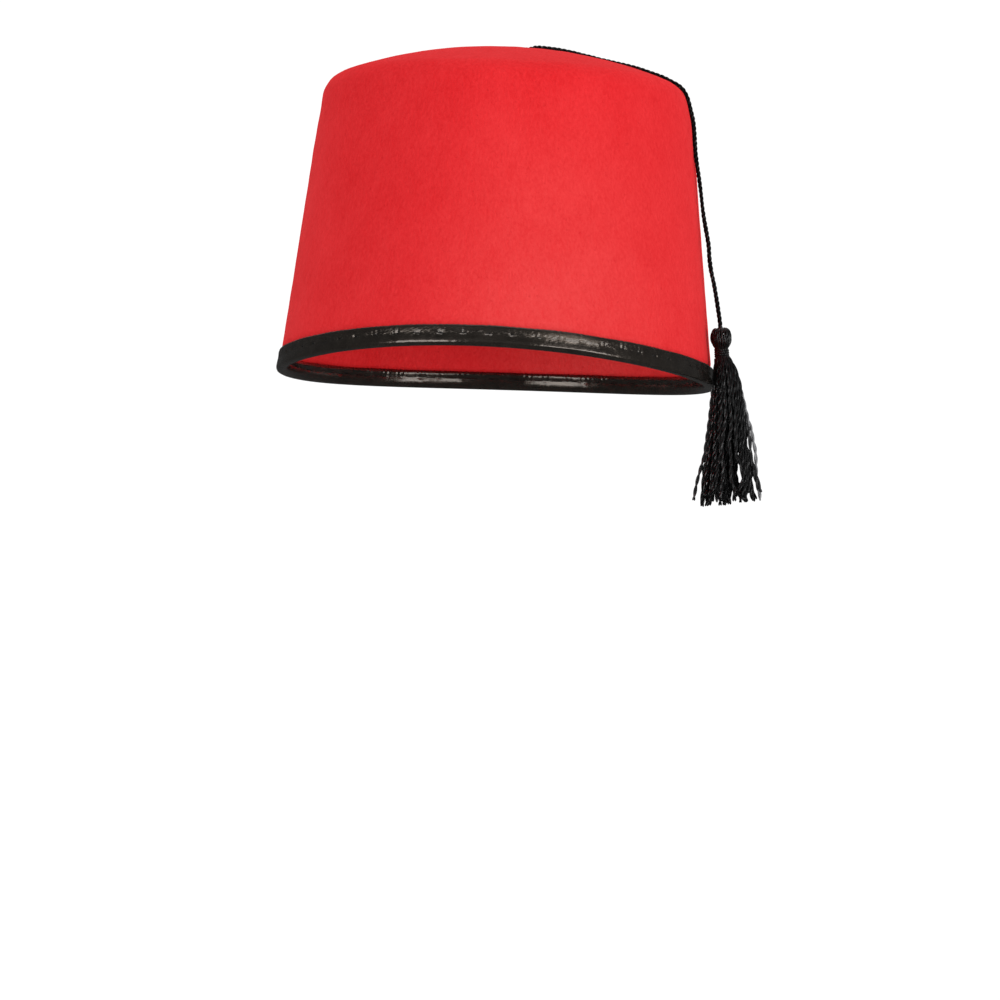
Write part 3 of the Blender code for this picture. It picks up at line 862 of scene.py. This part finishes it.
cordForm = {
    "diameter": 1.7,
    "strands": 3,
    "strandRadius": 0.43,
    "shades": (0.3, 0.45, 0.38),
    "reach": 0.45,  # from the cord's middle to a strand's
    "uneven": (0.1, 6.0),
    # thinner where it hangs free and thicker over the shoulder, by height
    "drawn": [(58, 1.0), (64, 0.88), (82, 0.88), (90, 1.0), (96, 1.0), (99, 1.1), (105, 1.1), (109, 1.0)],
    "pitch": 5.7,
    "step": 0.3,
    "sides": 9,
    "rests": 0.85,  # how far the cord's middle lies off the felt
    # on the top it lies looser or tighter on its way out from the hole
    "lifts": [(4, 0.1), (7.5, -0.15), (8.8, -0.1), (10, 0.42), (15, 0.38), (18, 0.33), (27, -0.05),
              (32, -0.35), (37, -0.38), (43, -0.15), (50, 0.12), (55, 0.12), (60, 0.1), (63, 0.02),
              (66, -0.08), (68, -0.2), (70, -0.22), (72, 0.0), (73, 0.12)],
    "settles": (2.6, 4.2),  # nearer to the felt than this it lies on it
    "leaves": (74.0, 92.0),  # between these heights it comes away from the felt
    "tail": (4.0, 7.0, 10.0),  # runs on inside the tassel's head
    "hole": (3.0, 124.2),  # nearer to the middle and lower than this it isn't laid
    "softened": 9,
}


def settleCord(line, form):
    # lays the part of the cord that is near the felt down onto it
    mesh = crown.data
    corners = [vertex.co for vertex in mesh.vertices]
    tree = BVHTree.FromPolygons(corners, [tuple(face.vertices) for face in mesh.polygons])
    moved = line.copy()
    reach, top = form["hole"]
    for i, point in enumerate(line):
        if point[2] < top and np.hypot(point[0], point[1]) < reach:
            continue
        spot, facing, _, away = tree.find_nearest(Vector(point) * mm)
        near = float(smoothStep(point[2], *form["leaves"]) * (1 - smoothStep(away / mm, *form["settles"])))
        rests = form["rests"] + np.interp(point[0], *zip(*form["lifts"]))
        rest = (np.array(spot) + np.array(facing) * rests * mm) / mm
        moved[i] = point + near * (rest - point)
    half = form["softened"] // 2
    window = np.ones(form["softened"]) / form["softened"]
    soft = moved.copy()
    for axis in range(3):
        soft[half:-half, axis] = np.convolve(moved[:, axis], window, mode="valid")
    return soft


def makeCord(form):
    tail = [tasselPoints(drop, 0.0, 0.0) for drop in form["tail"]]
    line = smoothRoute(cordRoute + tail, form["step"])
    line = evenPoints(settleCord(line, form), form["step"])
    drawn = np.interp(line[:, 2], *zip(*form["drawn"]))
    reach = form["reach"] * (drawn + uneven(line, form["uneven"], 51))[None]
    strands = twistedLines(line[None], form["strands"], reach, form["pitch"], [0.4])
    radii = roundedEnds(strands, form["strandRadius"]) * drawn
    return addMesh("cord_strands", cordBlack, *tubes(strands, radii, form["sides"], form["shades"])), line


cord, cordLine = makeCord(cordForm)
finishPiece(cord, "cord_black", "tassel_cord")
print(f"cord made, {runAlong(cordLine)[-1]:.1f} mm")


# knot: the cord's inner end, tied under the top

knotForm = {
    "size": 0.83,
    "drop": 2.85,  # from the cord's first point to the knot's middle
    "flat": 0.95,
    "strandRadius": 0.44,
    "reach": 0.4,
    "open": 0.28,  # of a turn at the top of the trefoil
}


def makeKnot(form):
    # an overhand knot: a trefoil opened at the top, with one end up the cord and a short tail
    turn = np.linspace(form["open"], fullTurn - form["open"], 90)
    loop = np.stack([np.sin(turn) + 2 * np.sin(2 * turn), np.cos(turn) - 2 * np.cos(2 * turn),
                     -np.sin(3 * turn) * form["flat"]], axis=1) * form["size"]
    loop = loop[:, [0, 2, 1]]  # the opened strand lies on top
    top = cordRoute[0][2]
    loop = loop - [0, 0, 0.2] + [0.0, 0.0, top - form["drop"]]
    line = smoothRoute(np.vstack([[0.0, 0.0, top + 0.5], loop[2:-2:3], loop[-1] + [-1.2, 0.3, -1.0]]), 0.3)
    strands = twistedLines(line[None], 3, form["reach"], cordForm["pitch"], [1.0])
    radii = roundedEnds(strands, form["strandRadius"])
    return addMesh("cord_end_knot", cordBlack, *tubes(strands, radii, 8, cordForm["shades"]))


knot = makeKnot(knotForm)
finishPiece(knot, "knot_black", "cord_knot")
print("knot made")


# tassel: two-ply yarns over the cord's end, whipped at the neck and loose below

tasselForm = {
    # head, from the dimple at the cord down to the neck: drop and radius
    "head": [(1.5, 0.95), (0.75, 1.35), (0.22, 1.95), (0.05, 2.5), (0.62, 3.25), (1.8, 3.8), (3.4, 3.98),
             (4.9, 3.76), (6.1, 3.22), (7.0, 2.55), (7.9, 2.15), (9.6, 2.1)],
    # skirt: drop, radius, and how far the rim pushes it out
    "skirt": [(10.9, 2.85, 0.3), (13.9, 3.9, 0.9), (17.5, 4.75, 1.3), (21.5, 5.45, 1.45),
              (28, 6.4, 1.45), (36, 7.45, 1.3), (43.5, 8.22, 0.82), (50.5, 9.15, 0.45),
              (58.5, 10.35, 0.25), (65.5, 11.2, 0.1)],
    "layers": [
        # yarns, share of the skirt's radius, where they start, how much they wander, how deep they lie
        (27, 1.0, 0, 0.55, 0.9),
        (17, 0.66, 9, 0.7, 0.5),
        (9, 0.34, 10, 0.8, 0.5),
    ],
    "plyRadius": (0.25, 0.43),  # at the head and in the skirt
    "plyReach": (0.2, 0.35),
    "pitches": (6.5, 11.0),
    "step": 0.45,
    "sides": (8, 6, 6),
    "lengths": (60.8, 65.4),
    "longer": 1.2,  # at the side next to the hat
    "strayThick": 0.92,  # single yarns are drawn thinner
    "strayFront": (14, 40),  # they come forward between these drops
    "strayWave": (0.25, 7),
    "endThick": 0.55,
    "shades": (0.001, 0.022),
    "thick": [(6, 0.42), (12, 0.42), (28, 0.7)],  # from a yarn's middle to its outside, by drop
    "hangs": (14, 50),  # from this drop they hang freer, over so much more
    "sway": (0.45, 0.8, 0.7),  # in and out, round, and how soon it grows
    "swayRuns": (9, 24),
    "rates": (6.28, 6.28, 3.14),
    "loosens": (8, 28),
    "frays": (2.2, 0.2, 0.1),  # over the last millimetres, wider apart and thinner
    # yarns draw together in this many groups, by so much, from this turn, and how soon
    "clumps": (5, 0.12, 0.9, 1.6),
    # partings: places as drop and distance across, half width and reach, and the drops over which
    # they open and close
    "partings": [
        ([(45, 4.6), (56, 4.9), (59, 5.3), (65, 6)], 0.88, 3, (47, 53), (57, 60.5)),
        ([(55, 2), (65, 0.9)], 0.95, 2.4, (57, 61), (90, 99)),
        ([(54, 9), (57.5, 9.65), (61, 10.3), (65, 10.4)], 0.95, 2.4, (54.5, 57), (61, 66)),
        ([(54, -4), (65, -5.2)], 0.9, 2.2, (58, 63), (90, 99)),
        ([(38, 8.6), (48, 8.8)], 1.38, 3.2, (39, 42), (44.5, 47.5)),
    ],
    # single yarns that hang apart: drop and distance across, how pale, and how far in front
    "strays": [
        ([(11, -2.5), (22, -3.9), (33.7, -5.6), (42.9, -7.3), (47, -8.1), (52.1, -9.8), (56.5, -11.2),
          (63.4, -12.8)], 0.075, -1.2),
        ([(11, 2.6), (22.4, 6.3), (34.4, 8.7), (38, 9.7), (42, 10.2), (45.7, 10.85), (49.3, 10.95),
          (55, 10.9), (58.5, 11.3), (61, 11.65), (64.6, 11.85)], 0.68, -0.6),
        ([(11, 2.2), (22, 5.8), (34, 7.9), (42, 9.1), (45.5, 9.15), (49.3, 9.4), (52, 10.2),
          (55, 10.9), (57.7, 11.45), (60.5, 12.15), (61.6, 12.4)], 0.06, -2.2),
        ([(11, 1.8), (22, 5.2), (34, 7.2), (42, 7.4), (45.5, 8), (49.3, 9.3), (52, 9.8),
          (55, 10.3), (57.7, 10.8), (60.5, 11.5), (61, 11.6)], 0.03, -2.6),
    ],
}


def parted(drop, across):
    # moves a yarn to one side of each parting that it would cross
    for route, half, reach, opens, closes in tasselForm["partings"]:
        away = across - np.interp(drop, *zip(*route))
        side = 1.0 if np.interp(min(58.0, closes[0]), drop, away) > 0 else -1.0
        near = np.clip(away * side, 0, None)
        opened = np.where(near < reach, half + near * (1 - half / reach), near)
        pulled = smoothStep(drop, *opens) * (1 - smoothStep(drop, *closes))
        across = across + pulled * (side * opened - away)
    return across


def tasselYarns(form, layer, rng):
    # the middle lines of one layer of yarns
    count, part, begins, wander, deep = form["layers"][layer]
    profile = [(drop, radius, 0.0) for drop, radius in form["head"]] + form["skirt"]
    base = smoothRoute(profile[begins:], 0.25)
    lines = []
    for k in range(count):
        turn = fullTurn * (k + 0.5 * layer) / count + rng.uniform(-0.5, 0.5) * fullTurn / count * 0.5
        end = rng.uniform(*form["lengths"]) - form["longer"] * min(math.cos(turn), 0.2)
        kept = base[:, 0] < end
        kept[:10] = True
        drop, radius, out = base[kept].T
        thick = np.interp(drop, *zip(*form["thick"]))
        low, length = form["hangs"]
        hang = np.clip((drop - low) / length, 0, 1)
        reach = np.maximum(radius * part - thick * deep, 0.2)
        waves = rng.uniform(*form["swayRuns"], 4)
        starts = rng.uniform(0, fullTurn, 4)
        inOut, aside, grows = form["sway"]
        sway = hang ** grows * wander
        first, second, third = [
            np.sin(drop / wave * rate + start) for wave, rate, start in zip(waves, form["rates"], starts)]
        reach += sway * inOut * (first - 0.8)
        groups, pull, begin, grows = form["clumps"]
        drawn = pull * hang ** grows * math.sin(groups * turn + begin + layer)
        angle = turn + drawn + sway / np.maximum(radius, 3) * (aside * second + aside * third)
        across = out + reach * np.cos(angle)
        if drop[-1] > 50:
            across = parted(drop, across)
        lines.append(tasselPoints(drop, across, reach * np.sin(angle)))
    return lines


def strayYarns(form, rng):
    size, wave = form["strayWave"]
    lines = []
    for route, _, depth in form["strays"]:
        drop, across, _ = smoothRoute([(drop, x, 0.0) for drop, x in route], 0.3).T
        waving = size * np.sin(drop / wave + rng.uniform(0, 6))
        front = depth * smoothStep(drop, *form["strayFront"])
        lines.append(tasselPoints(drop, across, front + waving))
    return lines


def makeTassel(form, layer, name):
    rng = np.random.default_rng(41 + layer)
    lines = tasselYarns(form, layer, rng)
    plain = len(lines)
    shades = list(rng.uniform(*form["shades"], plain))
    if layer == 0:
        lines += strayYarns(form, rng)
        shades += [shade for _, shade, _ in form["strays"]]
    length, apart, thinner = form["frays"]
    parts = []
    for index, (line, shade) in enumerate(zip(lines, shades)):
        thick = 1.0 if index < plain else form["strayThick"]
        line = evenPoints(line, form["step"])
        loose = smoothStep((tasselHang["top"][2] - line[:, 2])[None], *form["loosens"])
        run = np.arange(len(line))[None] * form["step"]
        frayed = smoothStep(run, run.max() - length, run.max())
        reach = blend(form["plyReach"], loose) * (1 + apart * frayed) * thick
        plies = twistedLines(line[None], 2, reach, rng.uniform(*form["pitches"]), [rng.uniform(0, 6.28)])
        radii = np.repeat(blend(form["plyRadius"], loose), 2, axis=0) * (1 - thinner * frayed) * thick
        radii[:, -1] *= form["endThick"]
        parts.append(tubes(plies, radii, form["sides"][layer], [shade, shade]))
    piece = addMesh(name, tasselBlack, *joined(parts))
    finishPiece(piece, "tassel_black", "tassel")
    return piece


tasselNames = ("tassel_yarns", "tassel_inner_yarns", "tassel_heart_yarns")
tassel = [makeTassel(tasselForm, layer, name) for layer, name in enumerate(tasselNames)]

wrapForm = {
    "turns": 3.4,
    "tucked": 0.06,  # of its length at each end, drawn in this far
    "tuck": 0.7,
    "top": 7.45,
    "bottom": 10.25,
    "radius": 2.36,
    "plyRadius": 0.27,
    "reach": 0.21,
    "pitch": 1.9,
}


def makeWrap(form):
    run = np.linspace(-form["tucked"], 1 + form["tucked"], 260)
    turn = fullTurn * form["turns"] * run + 0.7
    tucked = smoothStep(np.abs(run - 0.5), 0.5, 0.5 + form["tucked"])
    radius = form["radius"] - form["tuck"] * tucked
    drop = form["top"] + (form["bottom"] - form["top"]) * np.clip(run, 0, 1)
    line = evenPoints(tasselPoints(drop, radius * np.cos(turn), radius * np.sin(turn)), 0.22)
    plies = twistedLines(line[None], 2, form["reach"], form["pitch"], [0.0])
    radii = roundedEnds(plies, form["plyRadius"])
    return addMesh("tassel_whipping", threadBlack, *tubes(plies, radii, 7, [0.25, 0.35]))


wrap = makeWrap(wrapForm)
finishPiece(wrap, "wrap_black", "tassel_wrap")
print("tassel made")


# floor, light and air

studio = {
    "floorHeight": -400.0,
    "floorRings": [9000, 5500, 3500, 2300, 1500, 900, 400],
    "floorSides": 64,
    "floor": {"Base Color": (0.9, 0.9, 0.9), "Roughness": 0.9, "Specular IOR Level": 0.0,
              "Emission Color": (1.0, 1.0, 1.0)},
    "floorGlow": (0.0, 0.9, 0.7, 3.0),  # least and most, and between how many metres out
    "world": (0.4, 0.045, 1.05),  # as light, as a reflection, and as the camera sees it
    "aim": (0.0, 0.0, 50.0),
    # place, size, radiance
    "lights": {
        "softbox right": ((2260, -1355, 130), (1900, 1500), 4.9),
        "softbox left": ((-1465, -2172, -40), (1700, 1400), 4.1),
        "softbox top": ((100, -100, 2400), (1700, 1700), 2.4),
        "softbox back": ((-500, 1700, 2000), (2000, 1200), 3),
        "card front": ((-450, -2400, 950), (3600, 1100), 0.1),
    },
}


def addFloor(setup):
    # rings from the edge inwards, so that every face looks up
    rings, sides = setup["floorRings"], setup["floorSides"]
    height, turn = setup["floorHeight"], evenTurns(sides)
    points = [(r * math.cos(t), r * math.sin(t), height) for r in rings for t in turn]
    faces = gridFaces(len(rings), sides).tolist()
    faces.append(list(range(len(points) - sides, len(points))))
    material, tree, shader = newFinish("floor", setup["floor"])
    away = addNode(tree, "VectorMath", {"operation": "LENGTH"}, {0: objectPlace(tree)})
    seen = addNode(tree, "LightPath").outputs["Is Camera Ray"]
    feed(shader["Emission Strength"], times(rampTo(away.outputs["Value"], *setup["floorGlow"]), seen))
    # clear from beneath, so that it doesn't hide the hat's inside
    side = addNode(tree, "NewGeometry").outputs["Backfacing"]
    feed(shader["Alpha"], minus(1.0, side))
    floor = addMesh("floor", material, points, faces)
    floor.visible_glossy = False


def addLights(setup):
    for name, (place, size, radiance) in setup["lights"].items():
        data = bpy.data.lights.new(name, "AREA")
        data.shape = "RECTANGLE"
        data.size, data.size_y = size[0] * mm, size[1] * mm
        data.energy = radiance * math.pi * data.size * data.size_y
        lamp = addObject(name, data)
        lamp.location = Vector(place) * mm
        aim = Vector(setup["aim"]) * mm - lamp.location
        lamp.rotation_euler = aim.to_track_quat("-Z", "Y").to_euler()
        lamp.visible_camera = False


def addAir(setup):
    # white to the camera, softer as a light
    world = bpy.data.worlds.new("air")
    world.use_nodes = True
    bpy.context.scene.world = world
    background = world.node_tree.nodes["Background"].inputs
    seen = addNode(world.node_tree, "LightPath").outputs
    light, mirrored, shown = setup["world"]
    level = rampTo(seen["Is Glossy Ray"], light, mirrored)
    feed(background["Strength"], reckon("MAXIMUM", level, times(seen["Is Camera Ray"], shown)))
    feed(background["Color"], (1.0, 1.0, 1.0))


addFloor(studio)
addLights(studio)
addAir(studio)
view = bpy.context.scene.view_settings
view.view_transform = "Standard"
view.look = "None"
print("studio lit")
